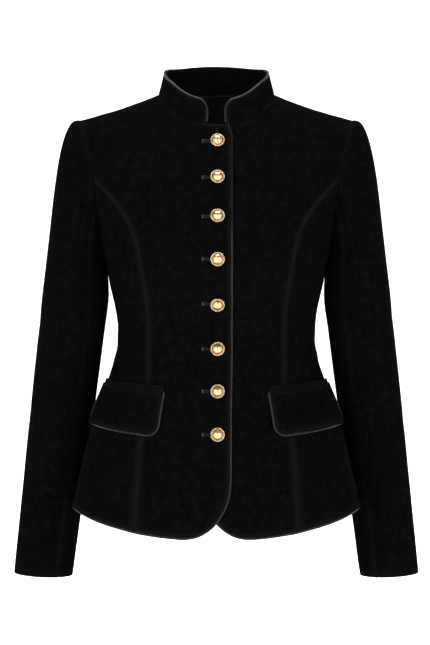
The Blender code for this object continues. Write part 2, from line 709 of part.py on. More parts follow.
def build_sleeves():
    """Each sleeve is a top sleeve and an under sleeve, joined at a front and a back seam."""
    steps = np.arange(ARMHOLE_STEPS + 1) * 2 * math.pi / ARMHOLE_STEPS
    lengths = np.concatenate(
        [
            np.linspace(0.0, 1.0, SLEEVE_CAP_ROWS + 1),
            np.linspace(1.0, 2.0, SLEEVE_TUBE_ROWS + 1)[1:],
        ]
    )
    full_turn = 2 * math.pi
    pieces = {
        "top_sleeve": np.concatenate(
            [steps[SLEEVE_BACK_SEAM_STEP:-1] - full_turn, steps[: SLEEVE_FRONT_SEAM_STEP + 1]]
        ),
        "under_sleeve": steps[SLEEVE_FRONT_SEAM_STEP : SLEEVE_BACK_SEAM_STEP + 1],
    }
    for piece, turns in pieces.items():
        turn, length = np.meshgrid(turns, lengths)
        speed = np.linalg.norm(
            sleeve_form(turn + 0.01, length) - sleeve_form(turn - 0.01, length), axis=-1
        ) / 0.02
        step = SEAM_GAP / 2 / speed
        turn[:, 0] += step[:, 0]
        turn[:, -1] -= step[:, -1]
        outer = sleeve_form(turn, length)
        inner = outer - sleeve_normals(turn, length) * BODY_WALL
        for side, word in ((1, "left"), (-1, "right")):
            wall(f"{piece}_{word}", mirrored(outer, side), mirrored(inner, side))


def flap_patch():
    """A pocket flap's place on the body, its free corners rounded, and how far down each row lies."""
    down = np.linspace(0.0, 1.0, FLAP_ROWS + 1)
    top, bottom = (
        float(angle_at(FLAP_FRONT_TOP, FLAP_TOP)),
        float(angle_at(FLAP_FRONT_BOTTOM, FLAP_BOTTOM)),
    )
    back = math.radians(FLAP_BACK_ANGLE)
    turns = np.linspace(0.0, math.pi / 2, FLAP_CORNER_COLUMNS + 1)
    corner_share = FLAP_CORNER_WIDTH / FLAP_LENGTH
    corner = corner_share * (1 - np.cos(turns))
    plain = np.linspace(corner_share, 1 - corner_share, FLAP_PLAIN_COLUMNS)[1:-1]
    shares = np.concatenate([corner, plain, 1 - corner[::-1]])
    front = top + (bottom - top) * down
    angle = front[:, None] + (back - front)[:, None] * shares[None, :]
    nearest = np.minimum(shares, 1 - shares)
    inside = np.clip(1 - nearest / corner_share, 0.0, 1.0)
    drop = 1 - FLAP_CORNER_HEIGHT * (1 - np.sqrt(1 - inside**2))
    station = FLAP_TOP + (FLAP_BOTTOM - FLAP_TOP) * down[:, None] * drop[None, :]
    return Patch(angle, station), down[:, None]


def build_pockets():
    """Each pocket: a flap that stands off the skirt towards its free edge, its piping, and a welt."""
    patch, down = flap_patch()
    flap_lift = POCKET_CLEARANCE + FLAP_WALL + FLAP_STAND_OFF * down**FLAP_STAND_OFF_POWER
    welt_rows = FLAP_TOP + WELT_GAP + np.array([0.0, WELT_HEIGHT])
    welt = Patch(
        np.repeat(patch.angle[:1], 2, axis=0),
        np.repeat(welt_rows[:, None], patch.angle.shape[1], axis=1),
    )
    for side, word in ((1, "left"), (-1, "right")):
        outer, inner = layers(patch, side, flap_lift, FLAP_WALL)
        wall(f"pocket_flap_{word}", outer, inner)
        edge = [
            np.concatenate([grid[:-1, 0], grid[-1], grid[:-1, -1][::-1]]) for grid in (outer, inner)
        ]
        piping(f"piping_flap_{word}", edge_cord(*edge, side))
        wall(f"pocket_welt_{word}", *layers(welt, side, POCKET_CLEARANCE + WELT_WALL, WELT_WALL))


def build_buttons():
    """Eight shank buttons on the centre front, each square to the cloth under it."""
    work = bmesh.new()
    rings = [work.verts.new((radius * MM, 0.0, height * MM)) for radius, height in BUTTON_OUTLINE]
    edges = [work.edges.new(pair) for pair in zip(rings, rings[1:])]
    bmesh.ops.spin(
        work,
        geom=rings + edges,
        cent=(0, 0, 0),
        axis=(0, 0, 1),
        angle=2 * math.pi,
        steps=BUTTON_SIDES,
        use_merge=True,
    )
    bmesh.ops.remove_doubles(work, verts=work.verts, dist=1e-6)
    bmesh.ops.recalc_face_normals(work, faces=work.faces)
    mesh = bpy.data.meshes.new("button")
    work.to_mesh(mesh)
    work.free()
    mesh.shade_smooth()
    mesh.set_sharp_from_angle(angle=math.radians(35))
    stations = np.linspace(0, NECK, 1300)
    centre_heights = body_form(0.0, stations)[:, 2]
    for number, height in enumerate(BUTTON_HEIGHTS, start=1):
        station = float(np.interp(height, centre_heights, stations))
        angle = float(angle_at(BUTTON_OFFSET, station))
        normal = body_normals(angle, station)
        place = body_form(angle, station) + normal * (LAP_LIFT + BUTTON_CLEARANCE)
        if number == 1:
            made = add_object("button_1", mesh, BRASS)
        else:
            made = bpy.data.objects.new(f"button_{number}", mesh)
            bpy.context.scene.collection.objects.link(made)
        turn = Vector(normal).to_track_quat("Z", "Y").to_matrix().to_4x4()
        made.matrix_world = Matrix.Translation(Vector(place) * MM) @ turn


def main():
    for old in list(bpy.data.objects):
        bpy.data.objects.remove(old)
    left_hem, right_hem = build_body()
    build_back_hem(left_hem, right_hem)
    build_collar()
    build_facing()
    build_sleeves()
    build_pockets()
    build_buttons()


main()
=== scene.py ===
import math
from collections import namedtuple

import bmesh
import bpy
from mathutils import Matrix, Vector, noise
from mathutils.bvhtree import BVHTree
from mathutils.kdtree import KDTree


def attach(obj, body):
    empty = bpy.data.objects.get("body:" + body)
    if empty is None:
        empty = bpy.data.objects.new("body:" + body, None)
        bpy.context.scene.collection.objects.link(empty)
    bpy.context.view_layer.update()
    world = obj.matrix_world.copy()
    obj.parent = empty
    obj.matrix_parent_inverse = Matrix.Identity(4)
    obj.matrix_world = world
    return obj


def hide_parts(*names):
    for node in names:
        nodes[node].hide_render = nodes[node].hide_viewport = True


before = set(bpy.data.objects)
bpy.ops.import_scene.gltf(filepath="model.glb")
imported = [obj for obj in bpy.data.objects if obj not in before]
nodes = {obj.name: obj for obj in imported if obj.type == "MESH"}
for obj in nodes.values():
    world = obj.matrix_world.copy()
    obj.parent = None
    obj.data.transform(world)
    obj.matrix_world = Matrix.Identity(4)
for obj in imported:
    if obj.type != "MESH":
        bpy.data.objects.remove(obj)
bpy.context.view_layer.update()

MM = 0.001
scene = bpy.context.scene

# ---------------------------------------------------------------- materials


def linear(code):
    """An sRGB hex colour as linear RGBA."""
    channels = [int(code[i : i + 2], 16) / 255 for i in (1, 3, 5)]
    return (*(c / 12.92 if c <= 0.04045 else ((c + 0.055) / 1.055) ** 2.4 for c in channels), 1.0)


def add(tree, kind, settings=None, sockets=None, links=None):
    """Adds a shader node: its own settings, its sockets' values, and links into its sockets."""
    made = tree.nodes.new("ShaderNode" + kind)
    for name, value in (settings or {}).items():
        setattr(made, name, value)
    for socket, value in (sockets or {}).items():
        made.inputs[socket].default_value = value
    for socket, source in (links or {}).items():
        tree.links.new(source, made.inputs[socket])
    return made


def new_material(name, viewport):
    """An empty material with its node tree."""
    made = bpy.data.materials.new(name)
    made.use_nodes = True
    made.node_tree.nodes.clear()
    made.diffuse_color = linear(viewport)
    return made, made.node_tree


def cotton_velvet():
    """Cotton velvet, woven with a cut pile, sheared and dyed black. The pile swallows light, so the cloth is
    nearly black and matt; it lies a little this way and that, which shows as soft clouds, and its tips catch
    light where the cloth turns away. Beside a seam, where the nap is pressed, a paler colour is a painted
    sheen."""
    made, tree = new_material("cotton_velvet", "#151214")
    place = add(tree, "TexCoord").outputs["Object"]
    # Clouds of brushed nap, 10 mm across with finer ones inside them.
    cloud = add(
        tree,
        "TexNoise",
        sockets={"Scale": 100.0, "Detail": 4.0, "Roughness": 0.6, "Distortion": 0.3},
        links={"Vector": place},
    )
    # Tufts of pile are 0.3 mm; they are drawn 2 mm wide, as fine as the render can show.
    tuft = add(
        tree,
        "TexNoise",
        sockets={"Scale": 520.0, "Detail": 2.0, "Roughness": 0.7},
        links={"Vector": place},
    )
    cloud_share = add(
        tree,
        "MapRange",
        settings={"clamp": True},
        sockets={"From Min": 0.38, "From Max": 0.62},
        links={"Value": cloud.outputs["Fac"]},
    )
    clouded = add(
        tree,
        "Mix",
        settings={"data_type": "RGBA"},
        sockets={6: linear("#020202"), 7: linear("#050505")},
        links={0: cloud_share.outputs[0]},
    )
    tuft_share = add(
        tree,
        "MapRange",
        sockets={"From Min": 0.3, "From Max": 0.75, "To Min": 0.0, "To Max": 0.6},
        links={"Value": tuft.outputs["Fac"]},
    )
    tufted = add(
        tree,
        "Mix",
        settings={"data_type": "RGBA"},
        sockets={7: linear("#0d0b0c")},
        links={0: tuft_share.outputs[0], 6: clouded.outputs[2]},
    )
    # The attribute is 1 at a seam and 0 away from it, where the nap lies flat. It mixes in a paler colour: a
    # painted sheen of the pressed nap beside the seam.
    seam_sheen = add(tree, "Attribute", settings={"attribute_name": "seam_sheen"})
    seam_sheen_share = add(
        tree,
        "Math",
        settings={"operation": "MULTIPLY"},
        sockets={1: 0.5},
        links={0: seam_sheen.outputs["Fac"]},
    )
    coloured = add(
        tree,
        "Mix",
        settings={"data_type": "RGBA"},
        sockets={7: linear("#161314")},
        links={0: seam_sheen_share.outputs[0], 6: tufted.outputs[2]},
    )
    roughness = add(
        tree,
        "MapRange",
        sockets={"To Min": 0.82, "To Max": 0.96},
        links={"Value": cloud.outputs["Fac"]},
    )
    pile = add(
        tree,
        "Bump",
        sockets={"Strength": 0.35, "Distance": 0.0006},
        links={"Height": tuft.outputs["Fac"]},
    )
    nap = add(
        tree,
        "Bump",
        sockets={"Strength": 0.25, "Distance": 0.002},
        links={"Height": cloud.outputs["Fac"], "Normal": pile.outputs[0]},
    )
    shader = add(
        tree,
        "BsdfPrincipled",
        sockets={
            "IOR": 1.45,
            "Specular IOR Level": 0.0,
            "Sheen Weight": 0.0072,
            "Sheen Roughness": 0.42,
            "Sheen Tint": linear("#b2b0b2"),
        },
        links={
            "Base Color": coloured.outputs[2],
            "Roughness": roughness.outputs[0],
            "Normal": nap.outputs[0],
        },
    )
    add(tree, "OutputMaterial", links={"Surface": shader.outputs[0]})
    return made


def twill_lining():
    """Viscose twill, woven and calendered. It is smoother and shinier than the velvet, with fine slanting
    ribs that give it a satin look."""
    made, tree = new_material("twill_lining", "#0c0e0c")
    place = add(tree, "TexCoord").outputs["Object"]
    slanted = add(
        tree,
        "Mapping",
        sockets={"Rotation": (0.0, math.radians(45), 0.0)},
        links={"Vector": place},
    )
    # Twill ribs are 0.4 mm apart; they are drawn 1.6 mm apart to show in the render.
    ribs = add(
        tree,
        "TexWave",
        settings={"wave_type": "BANDS", "bands_direction": "X"},
        sockets={"Scale": 190.0, "Distortion": 0.6, "Detail": 2.0},
        links={"Vector": slanted.outputs[0]},
    )
    cloud = add(tree, "TexNoise", sockets={"Scale": 30.0, "Detail": 3.0}, links={"Vector": place})
    base = add(
        tree,
        "Mix",
        settings={"data_type": "RGBA"},
        sockets={6: linear("#020202"), 7: linear("#070907")},
        links={0: ribs.outputs["Fac"]},
    )
    roughness = add(
        tree,
        "MapRange",
        sockets={"To Min": 0.42, "To Max": 0.62},
        links={"Value": cloud.outputs["Fac"]},
    )
    relief = add(
        tree,
        "Bump",
        sockets={"Strength": 0.3, "Distance": 0.0004},
        links={"Height": ribs.outputs["Fac"]},
    )
    shader = add(
        tree,
        "BsdfPrincipled",
        sockets={"IOR": 1.46, "Specular IOR Level": 0.08, "Sheen Weight": 0.01},
        links={"Base Color": base.outputs[2], "Roughness": roughness.outputs[0], "Normal": relief.outputs[0]},
    )
    add(tree, "OutputMaterial", links={"Surface": shader.outputs[0]})
    return made


def piping_leather():
    """Black nappa leather, tanned, dyed through and lightly polished, glued round a cord. The polish gives a
    clear grey streak along the cord, broken by grain and by small creases across it."""
    made, tree = new_material("nappa_leather", "#1a1a1a")
    place = add(tree, "TexCoord").outputs["Object"]
    # Leather grain is 0.6 mm wide; it is drawn 1.2 mm wide.
    grain = add(tree, "TexVoronoi", sockets={"Scale": 850.0}, links={"Vector": place})
    crease = add(
        tree,
        "TexNoise",
        sockets={"Scale": 260.0, "Detail": 3.0, "Roughness": 0.6},
        links={"Vector": place},
    )
    base = add(
        tree,
        "Mix",
        settings={"data_type": "RGBA"},
        sockets={6: linear("#040404"), 7: linear("#0c0c0c")},
        links={0: crease.outputs["Fac"]},
    )
    roughness = add(
        tree,
        "MapRange",
        sockets={"To Min": 0.2, "To Max": 0.4},
        links={"Value": crease.outputs["Fac"]},
    )
    fine = add(
        tree,
        "Bump",
        sockets={"Strength": 0.3, "Distance": 0.0003},
        links={"Height": grain.outputs["Distance"]},
    )
    relief = add(
        tree,
        "Bump",
        sockets={"Strength": 0.4, "Distance": 0.0006},
        links={"Height": crease.outputs["Fac"], "Normal": fine.outputs[0]},
    )
    shader = add(
        tree,
        "BsdfPrincipled",
        sockets={"IOR": 1.5, "Specular IOR Level": 0.13},
        links={"Base Color": base.outputs[2], "Roughness": roughness.outputs[0], "Normal": relief.outputs[0]},
    )
    add(tree, "OutputMaterial", links={"Surface": shader.outputs[0]})
    return made


def cast_brass(name, worn, bright, rough_from, rough_to):
    """Brass, die cast, plated pale gold and rubbed. Polish stays on what stands proud, and a brown tone is
    left in the hollows as faint spots."""
    made, tree = new_material(name, bright)
    place = add(tree, "TexCoord").outputs["Object"]
    spots = add(
        tree,
        "TexNoise",
        sockets={"Scale": 480.0, "Detail": 3.0, "Roughness": 0.6},
        links={"Vector": place},
    )
    share = add(
        tree,
        "MapRange",
        settings={"clamp": True},
        sockets={"From Min": 0.35, "From Max": 0.6},
        links={"Value": spots.outputs["Fac"]},
    )
    base = add(
        tree,
        "Mix",
        settings={"data_type": "RGBA"},
        sockets={6: linear(worn), 7: linear(bright)},
        links={0: share.outputs[0]},
    )
    roughness = add(
        tree,
        "MapRange",
        sockets={"To Min": rough_to, "To Max": rough_from},
        links={"Value": spots.outputs["Fac"]},
    )
    relief = add(
        tree,
        "Bump",
        sockets={"Strength": 0.12, "Distance": 0.0003},
        links={"Height": spots.outputs["Fac"]},
    )
    shader = add(
        tree,
        "BsdfPrincipled",
        sockets={"Metallic": 1.0},
        links={"Base Color": base.outputs[2], "Roughness": roughness.outputs[0], "Normal": relief.outputs[0]},
    )
    add(tree, "OutputMaterial", links={"Surface": shader.outputs[0]})
    return made


def spun_thread(name, dark, light, roughness):
    """Spun and dyed thread. Its twist gives each stitch a soft broken streak of light, painted into its
    colour as paler flecks, so a row of stitches reads as a paler dotted line on the velvet."""
    made, tree = new_material(name, light)
    place = add(tree, "TexCoord").outputs["Object"]
    # The twist is 0.3 mm long; it is drawn 0.9 mm long. Its streaks of light are painted, as a mix of the
    # dark and the light colour.
    painted_twist_sheen = add(tree, "TexNoise", sockets={"Scale": 1100.0, "Detail": 1.0}, links={"Vector": place})
    base = add(
        tree,
        "Mix",
        settings={"data_type": "RGBA"},
        sockets={6: linear(dark), 7: linear(light)},
        links={0: painted_twist_sheen.outputs["Fac"]},
    )
    relief = add(
        tree,
        "Bump",
        sockets={"Strength": 0.3, "Distance": 0.0002},
        links={"Height": painted_twist_sheen.outputs["Fac"]},
    )
    shader = add(
        tree,
        "BsdfPrincipled",
        sockets={"Roughness": roughness, "IOR": 1.5, "Specular IOR Level": 0.1, "Sheen Weight": 0.02},
        links={"Base Color": base.outputs[2], "Normal": relief.outputs[0]},
    )
    add(tree, "OutputMaterial", links={"Surface": shader.outputs[0]})
    return made


def pale_paper():
    """Matt white studio paper, evenly lit. It gives a plain pale ground with a soft shadow."""
    made, tree = new_material("studio_paper", "#f4f4f4")
    place = add(tree, "TexCoord").outputs["Object"]
    fibre = add(tree, "TexNoise", sockets={"Scale": 3.0}, links={"Vector": place})
    base = add(
        tree,
        "Mix",
        settings={"data_type": "RGBA"},
        sockets={6: linear("#f3f3f3"), 7: linear("#f7f7f7")},
        links={0: fibre.outputs["Fac"]},
    )
    shader = add(
        tree,
        "BsdfPrincipled",
        sockets={
            "Roughness": 0.95,
            "Specular IOR Level": 0.1,
            "Emission Color": linear("#ffffff"),
            "Emission Strength": 0.8,
        },
        links={"Base Color": base.outputs[2]},
    )
    add(tree, "OutputMaterial", links={"Surface": shader.outputs[0]})
    return made


VELVET = cotton_velvet()
LINING = twill_lining()
LEATHER = piping_leather()
RIM_BRASS = cast_brass("rim_brass", "#8c7358", "#d6c0a2", 0.3, 0.45)
RING_BRASS = cast_brass("ring_brass", "#705a40", "#a88c68", 0.35, 0.5)
DOME_BRASS = cast_brass("dome_brass", "#b08f68", "#c8aa84", 0.28, 0.36)
TWIST = spun_thread("buttonhole_silk", "#1c1b1d", "#3a383b", 0.45)
SEWING_THREAD = spun_thread("polyester_thread", "#080708", "#1a1819", 0.5)

# ---------------------------------------------------------------- cloth

# How a cut piece is made from its solid, in mm. cover: the cloth inside. wall: its thickness. roll: how far
# its edge rolls into the seam. reach: how far it runs on into the seam. flat: the cut's width and length.
# area: the cut's area in mm2.
Cut = namedtuple("Cut", "cover wall roll reach flat area held")
CUTS = {
    "front": Cut("lining", 2.0, 0.9, 0.6, (217, 630), 87300, "hung"),
    "side_front": Cut("lining", 2.0, 0.9, 0.6, (138, 470), 51400, "hung"),
    "side_back": Cut("lining", 2.0, 0.9, 0.6, (185, 460), 61100, "hung"),
    "back": Cut("lining", 2.0, 0.9, 0.6, (202, 605), 68100, "hung"),
    "top_sleeve": Cut("lining", 2.0, 0.4, 0.7, (201, 655), 113300, "hung"),
    "under_sleeve": Cut("lining", 2.0, 0.4, 0.6, (129, 545), 58500, "hung"),
    "collar": Cut("velvet", 3.0, 0.9, 1.8, (400, 46), 13800, "stretched"),
    "back_neck_facing": Cut("lining", 1.0, 0.2, 2.0, (281, 42), 10200, "stretched"),
    "pocket_flap": Cut("velvet", 2.4, 0.7, 0.2, (141, 60), 7700, "hung"),
    "pocket_welt": Cut("velvet", 1.6, 0.5, 0.2, (132, 10), 1050, "stretched"),
}
# Faces that bend less than this belong to one side of a wall.
SHEET_BEND = math.radians(50)
# A body panel's bends above this are spread out, in as many passes.
SHARP_FOLD = math.radians(26)
FOLD_PASSES = 6
ROUNDING_FITS = 3
ROUNDING_LEVELS = 2
# Lengths at the cloth's edges, in mm: the ring that rolls, the stitching's distance from the edge, and how
# near an edge is to a cord or to the collar that belongs to it.
EDGE_RING = 1.6
EDGE_STITCH = 4.0
STITCH_STAND = 0.05
CORD_REACH = 3.2
CORNER_REACH = 1.6
UNDER_COLLAR = 2.0
COLLAR_REACH = 1.8
# How far from an edge the painted sheen of pressed nap reaches, the cloth rolls and the cloth puckers, in mm.
SEAM_SHEEN_REACH = 3.2
ROLL_REACH = 2.4
PUCKER_REACH = 9.0
# Unevenness of the cloth: size and depth in mm of the puckers, the small ones in them, and the slow waves.
PUCKER = (11.0, 0.45)
SMALL_PUCKER = (5.0, 0.15)
SLOW_WAVE = (48.0, 0.55)
# The collar's upper edge at its sides, in mm: how far it turns, over what length, and between which heights
# the turn comes in. TURN_PEAK makes the turn's greatest value 1.
COLLAR_TURN = 3.4
COLLAR_TURN_REACH = 24.0
COLLAR_TURN_FROM = 2.0
COLLAR_TURN_RISE = 24.0
TURN_PEAK = 2.33

# Creases, as soft troughs (depth above 0) and ridges (below 0) in mm. A crease runs through its points, each
# a distance across the view named by side and a height. Front and back measure across from the body's
# middle, left and right from its middle towards the back.
Crease = namedtuple("Crease", "cloth side width depth points")
CREASES = [
    Crease("body", "front", 13, 1.3, ((152, -214), (128, -236), (96, -252))),
    Crease("body", "front", 12, 1.1, ((-150, -222), (-122, -240), (-92, -262))),
    Crease("body", "front", 10, 0.8, ((140, -262), (112, -272), (88, -276))),
    Crease("body", "front", 11, 0.9, ((-142, -270), (-116, -284), (-84, -287))),
    Crease("body", "front", 9, 1.3, ((128, -338), (98, -347), (52, -350))),
    Crease("body", "front", 10, 1.1, ((-126, -332), (-92, -344), (-60, -343))),
    Crease("body", "front", 8, 0.8, ((124, -366), (100, -371), (70, -370))),
    Crease("body", "front", 9, 0.9, ((-126, -362), (-104, -370), (-64, -374))),
    Crease("body", "front", 6, 0.5, ((-14, -258), (-40, -262), (-66, -256))),
    Crease("body", "front", 6, 0.5, ((18, -320), (44, -326), (60, -322))),
    Crease("body", "front", 6, 0.4, ((-14, -200), (-34, -204), (-52, -199))),
    Crease("body", "front", 7, 0.5, ((16, -382), (38, -386), (58, -384))),
    Crease("body", "front", 16, 1.0, ((96, -62), (112, -96), (126, -140))),
    Crease("body", "front", 15, 0.8, ((-92, -58), (-110, -102), (-128, -148))),
    Crease("body", "front", 20, -1.1, ((104, -500), (112, -552), (118, -608))),
    Crease("body", "front", 18, -0.9, ((-108, -508), (-118, -560), (-124, -606))),
    Crease("body", "front", 16, 0.8, ((58, -520), (60, -566), (66, -610))),
    Crease("body", "front", 15, 0.7, ((-66, -530), (-68, -574), (-72, -612))),
    Crease("body", "back", 11, 1.6, ((-92, -318), (-20, -327), (64, -321))),
    Crease("body", "back", 9, 1.2, ((-58, -346), (10, -352), (88, -345))),
    Crease("body", "back", 10, 1.0, ((-100, -370), (-52, -377), (0, -374))),
    Crease("body", "back", 14, 1.3, ((150, -150), (122, -176), (80, -188))),
    Crease("body", "back", 13, 1.1, ((-148, -158), (-116, -184), (-84, -190))),
    Crease("body", "back", 12, 0.9, ((146, -196), (116, -222), (92, -232))),
    Crease("body", "back", 12, 1.0, ((-146, -204), (-120, -226), (-90, -240))),
    Crease("body", "back", 17, -1.0, ((76, -470), (88, -540), (96, -606))),
    Crease("body", "back", 18, -1.2, ((-72, -478), (-84, -540), (-98, -604))),
    Crease("body", "back", 15, 0.9, ((34, -500), (36, -556), (44, -610))),
    Crease("body", "back", 14, 0.8, ((-30, -510), (-34, -560), (-42, -608))),
    Crease("body", "back", 18, 0.8, ((-52, -64), (-6, -70), (48, -66))),
    Crease("body", "left", 9, 1.1, ((-40, -342), (0, -350), (44, -346))),
    Crease("body", "right", 10, 1.2, ((-46, -348), (0, -356), (40, -350))),
    Crease("body", "left", 8, 0.8, ((-30, -372), (8, -378), (40, -372))),
    Crease("body", "right", 8, 0.7, ((-34, -320), (2, -326), (34, -322))),
    Crease("body", "left", 26, -3.4, ((-24, -180), (0, -236), (8, -326))),
    Crease("body", "right", 26, -3.4, ((-24, -180), (0, -236), (8, -326))),
    Crease("sleeve", "front", 12, 1.5, ((172, -196), (190, -214), (212, -222))),
    Crease("sleeve", "front", 12, 1.3, ((-172, -204), (-188, -222), (-214, -232))),
    Crease("sleeve", "front", 11, 1.1, ((176, -246), (194, -262), (214, -266))),
    Crease("sleeve", "front", 10, 1.2, ((-178, -256), (-198, -270), (-216, -276))),
    Crease("sleeve", "front", 10, 1.9, ((188, -338), (206, -350), (232, -352))),
    Crease("sleeve", "front", 11, 1.7, ((-188, -330), (-208, -344), (-234, -347))),
    Crease("sleeve", "front", 9, 1.6, ((190, -372), (212, -376), (236, -370))),
    Crease("sleeve", "front", 9, 1.5, ((-192, -366), (-214, -374), (-240, -366))),
    Crease("sleeve", "front", 9, 1.0, ((200, -404), (218, -412), (240, -410))),
    Crease("sleeve", "front", 9, 1.1, ((-200, -398), (-218, -408), (-238, -408))),
    Crease("sleeve", "front", 13, 0.8, ((208, -520), (226, -530), (250, -524))),
    Crease("sleeve", "front", 12, 0.9, ((-210, -540), (-230, -548), (-252, -540))),
    Crease("sleeve", "back", 11, 1.5, ((180, -330), (206, -342), (236, -336))),
    Crease("sleeve", "back", 11, 1.6, ((-182, -338), (-210, -352), (-238, -344))),
    Crease("sleeve", "back", 10, 1.1, ((188, -376), (212, -384), (240, -378))),
    Crease("sleeve", "back", 10, 1.2, ((-190, -384), (-214, -392), (-240, -384))),
    Crease("sleeve", "back", 13, 1.2, ((168, -160), (190, -196), (214, -214))),
    Crease("sleeve", "back", 13, 1.1, ((-168, -170), (-190, -204), (-212, -220))),
    Crease("sleeve", "left", 14, 0.9, ((-30, -300), (10, -312), (44, -308))),
    Crease("sleeve", "right", 14, 0.9, ((-26, -312), (12, -322), (46, -314))),
    Crease("sleeve", "left", 12, 0.8, ((-4, -452), (30, -462), (62, -456))),
    Crease("sleeve", "right", 12, 0.9, ((-8, -440), (28, -452), (60, -448))),
]
# A crease comes in where the cloth faces its side by FACING_LEAST, and is whole FACING_RISE above that. It
# ends CREASE_WIDTHS of its widths away, and no place CREASE_FAR mm across from its points is tested.
FACING_LEAST = 0.15
FACING_RISE = 0.35
CREASE_WIDTHS = 2.6
CREASE_FAR = 80
VIEWS = {
    "front": (Vector((0, -1, 0)), 0),
    "back": (Vector((0, 1, 0)), 0),
    "left": (Vector((1, 0, 0)), 1),
    "right": (Vector((-1, 0, 0)), 1),
}


def merged_copy(node):
    """A node's mesh in a new bmesh, its loose triangles merged into four-sided faces."""
    work = bmesh.new()
    work.from_mesh(nodes[node].data)
    bmesh.ops.remove_doubles(work, verts=work.verts, dist=0.02 * MM)
    bmesh.ops.join_triangles(
        work,
        faces=work.faces,
        angle_face_threshold=math.radians(60),
        angle_shape_threshold=math.pi,
        topology_influence=2.0,
    )
    return work


def keep_outer_face(work, sleeve):
    """Keeps a wall's outer face: of the two largest runs of faces that bend gently into each other, the one
    that looks away from the middle of the body or sleeve."""
    left = set(work.faces)
    runs = []
    while left:
        run = [left.pop()]
        for face in run:
            for edge in face.edges:
                if len(edge.link_faces) == 2 and edge.calc_face_angle() < SHEET_BEND:
                    for other in edge.link_faces:
                        if other in left:
                            left.remove(other)
                            run.append(other)
        runs.append(run)
    runs.sort(key=lambda run: -sum(face.calc_area() for face in run))
    middle = sum((vert.co for vert in work.verts), Vector()) / len(work.verts)

    def outwardness(run):
        total = 0.0
        for face in run:
            centre = face.calc_center_median()
            away = centre - (middle if sleeve else Vector((0, 0, centre.z)))
            total += face.normal.dot(away) * face.calc_area()
        return total

    kept = set(max(runs[:2], key=outwardness))
    bmesh.ops.delete(work, geom=[face for face in work.faces if face not in kept], context="FACES")


def soften_folds(work):
    """Spreads each bend that is sharper than cloth takes over the faces beside it."""
    for _ in range(FOLD_PASSES):
        work.normal_update()
        folded = {
            vert
            for edge in work.edges
            if not edge.is_boundary and edge.calc_face_angle() > SHARP_FOLD
            for vert in edge.verts
            if not vert.is_boundary
        }
        bmesh.ops.smooth_vert(
            work,
            verts=sorted(folded, key=lambda vert: vert.index),
            factor=0.5,
            use_axis_x=True,
            use_axis_y=True,
            use_axis_z=True,
        )


def rounded(work, levels):
    """The bmesh, subdivided into a smooth surface through its own points, in a new one."""
    mesh = bpy.data.meshes.new("rounding")
    work.to_mesh(mesh)
    work.free()
    holder = bpy.data.objects.new("rounding", mesh)
    scene.collection.objects.link(holder)
    modifier = holder.modifiers.new("rounding", "SUBSURF")
    modifier.levels = modifier.render_levels = levels
    modifier.boundary_smooth = "PRESERVE_CORNERS"
    # Subdividing draws a surface in. Its points are moved out until they end where they began.
    places = [vert.co.copy() for vert in mesh.vertices]
    for _ in range(ROUNDING_FITS):
        fine = holder.evaluated_get(bpy.context.evaluated_depsgraph_get()).data
        reached = [fine.vertices[index].co.copy() for index in range(len(places))]
        for vert, place, now in zip(mesh.vertices, places, reached):
            vert.co += place - now
        mesh.update()
        holder.update_tag()
        bpy.context.view_layer.update()
    finer = bmesh.new()
    finer.from_object(holder, bpy.context.evaluated_depsgraph_get())
    bpy.data.objects.remove(holder)
    bpy.data.meshes.remove(mesh)
    return finer


def turn_collar(work):
    """Rolls the collar's upper edge round at both sides: it dips just before its widest point and rises just
    behind it."""
    for vert in work.verts:
        behind = (vert.co.y - collar_side) / (COLLAR_TURN_REACH * MM)
        up = max(0.0, min(1.0, (vert.co.z / MM - COLLAR_TURN_FROM) / COLLAR_TURN_RISE))
        turn = TURN_PEAK * behind * math.exp(-behind * behind)
        vert.co.z += COLLAR_TURN * MM * turn * up * up * (3 - 2 * up)


def crease_depth(place, normal, cloth):
    """How far the creases push the cloth in at a place, in mm."""
    depth = 0.0
    for crease in CREASES:
        if crease.cloth != cloth:
            continue
        facing, axis = VIEWS[crease.side]
        towards = normal.dot(facing)
        if towards < FACING_LEAST:
            continue
        spot = Vector((place[axis], place.z)) / MM
        if min(abs(spot.x - across) for across, _ in crease.points) > CREASE_FAR:
            continue
        nearest, share = 1e9, 0.0
        spans = len(crease.points) - 1
        for index in range(spans):
            start, end = Vector(crease.points[index]), Vector(crease.points[index + 1])
            along = end - start
            part = max(0.0, min(1.0, (spot - start).dot(along) / along.length_squared))
            distance = (spot - start - along * part).length
            if distance < nearest:
                nearest, share = distance, (index + part) / spans
        if nearest > CREASE_WIDTHS * crease.width:
            continue
        # Deepest a third of the way along, running out to nothing at both ends.
        lasting = math.sin(math.pi * min(1.0, share + 0.12)) ** 0.8 if share < 0.88 else 0.0
        lasting = max(lasting, 0.0) * (1.15 - 0.5 * share)
        facing_share = min(1.0, (towards - FACING_LEAST) / FACING_RISE)
        depth += crease.depth * lasting * facing_share * math.exp(-((nearest / crease.width) ** 2))
    return depth


def boundary_tree(work):
    """A tree of points every few tenths of a millimetre along the bmesh's open edges."""
    spots = []
    for edge in work.edges:
        if edge.is_boundary:
            start, end = edge.verts[0].co, edge.verts[1].co
            steps = max(2, int((end - start).length / (0.6 * MM)))
            spots += [start.lerp(end, step / steps) for step in range(steps + 1)]
    tree = KDTree(len(spots))
    for index, spot in enumerate(spots):
        tree.insert(spot, index)
    tree.balance()
    return tree


def cut_edge_ring(work):
    """Cuts a line of faces EDGE_RING wide along the cloth's edge, so that the edge can roll tightly."""
    shares = {}
    for edge in work.edges:
        first, second = edge.verts
        if first.is_boundary != second.is_boundary:
            share = min(0.45, EDGE_RING * MM / edge.calc_length())
            shares[edge] = share if first.is_boundary else 1 - share
    bmesh.ops.subdivide_edges(work, edges=list(shares), cuts=1, edge_percents=shares)


